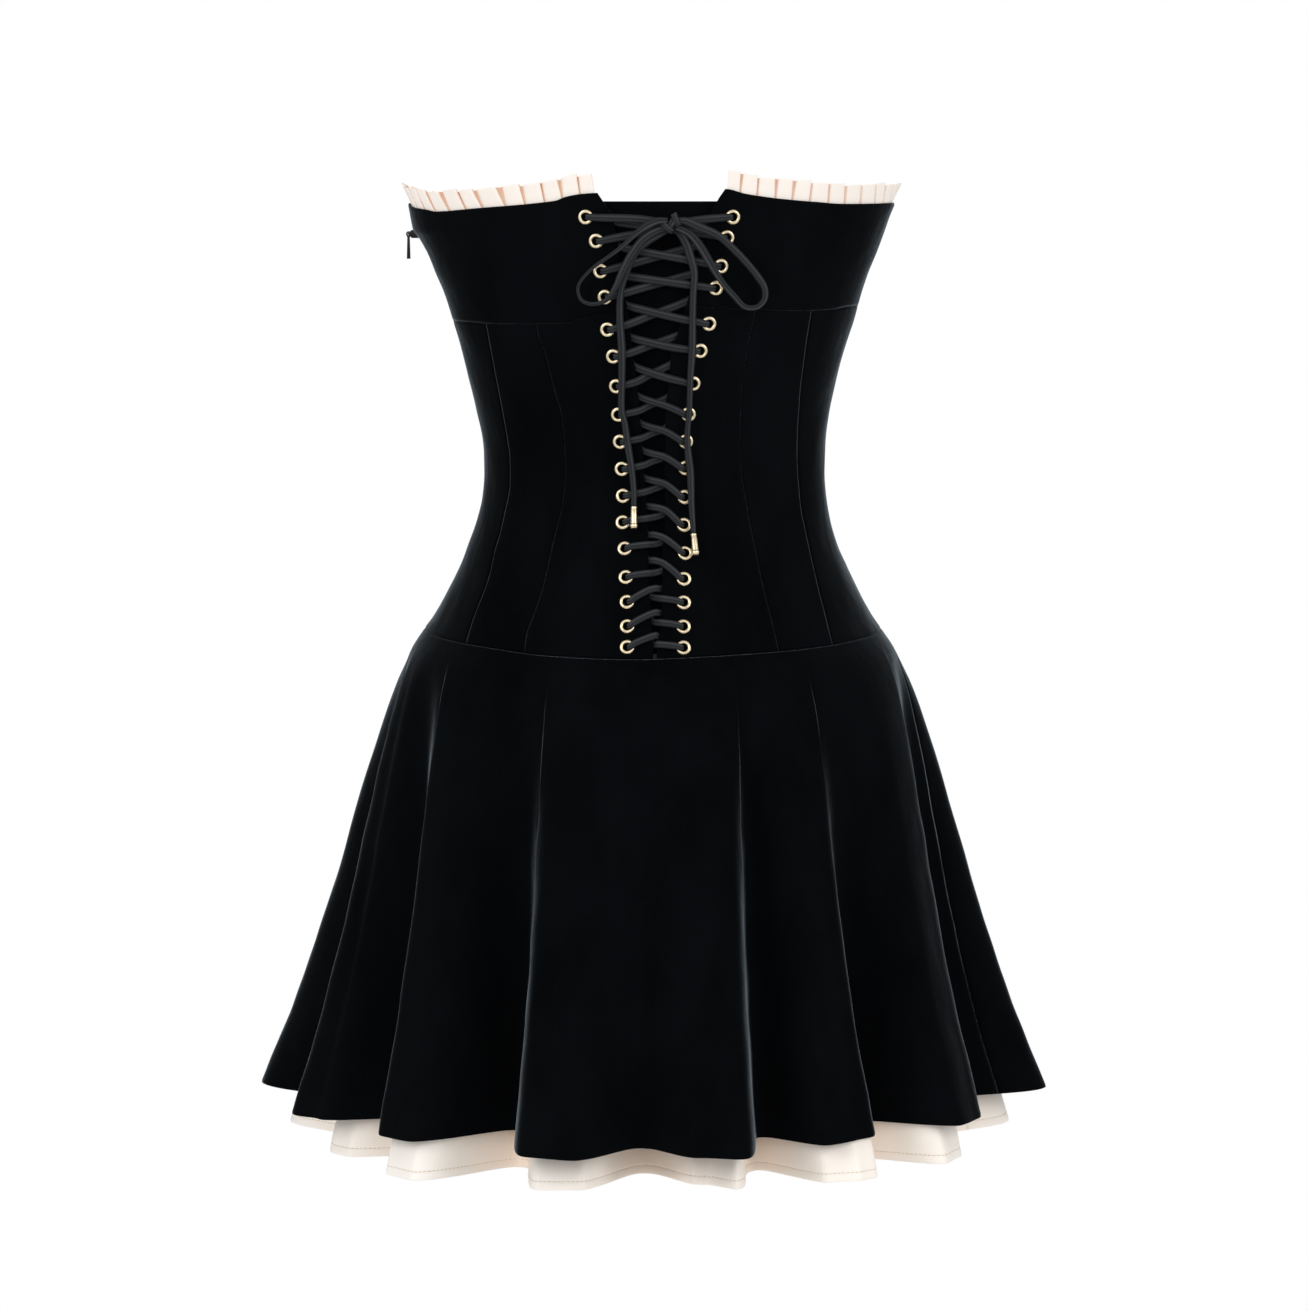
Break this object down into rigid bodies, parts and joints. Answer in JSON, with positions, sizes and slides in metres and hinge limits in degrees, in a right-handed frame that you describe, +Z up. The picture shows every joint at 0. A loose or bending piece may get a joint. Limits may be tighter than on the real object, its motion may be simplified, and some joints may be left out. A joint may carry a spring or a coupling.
{
  "type": "strapless velvet mini dress",
  "caption": "Strapless mini dress, worn form: laced corset back with bow, drop-waist flared skirt, longer satin underskirt, pleated ruffle along the top edge.",
  "frame": {"origin": "centre of the waist opening, at the narrowest height of the bodice, where the wearer's body holds the dress", "axes": "+Z up, -Y towards the wearer's back and the lacing, -X towards the wearer's left side"},
  "size_m": [0.5633, 0.5404, 0.6763],
  "materials": {
    "velvet": "near black pile velvet with a soft bluish-grey sheen at grazing angles",
    "satin": "cream satin, soft gloss",
    "pleated_satin": "cream pleated strip, semi-matt",
    "braid": "charcoal flat braided lace",
    "gold": "polished pale gold",
    "dark_metal": "black coated"
  },
  "bodies": {
    "dress": {"band_left": "velvet", "band_right": "velvet", "center_back_left": "velvet", "center_back_right": "velvet", "side_back_left": "velvet", "side_back_right": "velvet", "side_left": "velvet", "side_right": "velvet", "front_center": "velvet", "front_left": "velvet", "front_right": "velvet", "modesty_panel": "velvet", "skirt_back": "velvet", "skirt_front": "velvet", "underskirt_back": "satin", "underskirt_front": "satin", "ruffle": "pleated_satin", "lace_left": "braid", "lace_right": "braid", "bow": "braid", "tail_left": "braid", "tail_right": "braid", "eyelet_left_01": "gold", "eyelet_left_02": "gold", "eyelet_left_03": "gold", "eyelet_left_04": "gold", "eyelet_left_05": "gold", "eyelet_left_06": "gold", "eyelet_left_07": "gold", "eyelet_left_08": "gold", "eyelet_left_09": "gold", "eyelet_left_10": "gold", "eyelet_left_11": "gold", "eyelet_left_12": "gold", "eyelet_left_13": "gold", "eyelet_left_14": "gold", "eyelet_left_15": "gold", "eyelet_left_16": "gold", "eyelet_left_17": "gold", "eyelet_right_01": "gold", "eyelet_right_02": "gold", "eyelet_right_03": "gold", "eyelet_right_04": "gold", "eyelet_right_05": "gold", "eyelet_right_06": "gold", "eyelet_right_07": "gold", "eyelet_right_08": "gold", "eyelet_right_09": "gold", "eyelet_right_10": "gold", "eyelet_right_11": "gold", "eyelet_right_12": "gold", "eyelet_right_13": "gold", "eyelet_right_14": "gold", "eyelet_right_15": "gold", "eyelet_right_16": "gold", "eyelet_right_17": "gold", "aglet_left": "gold", "aglet_right": "gold", "zip_slider": "dark_metal"},
    "zip_pull": {"zip_pull": "dark_metal"}
  },
  "joints": [
    {"name": "zip_pull_hinge", "type": "hinge", "parent": "dress", "child": "zip_pull", "pos_m": [-0.1738, 0, 0.1744], "axis": [0, 1, 0], "range_deg": [-20, 120]}
  ]
}
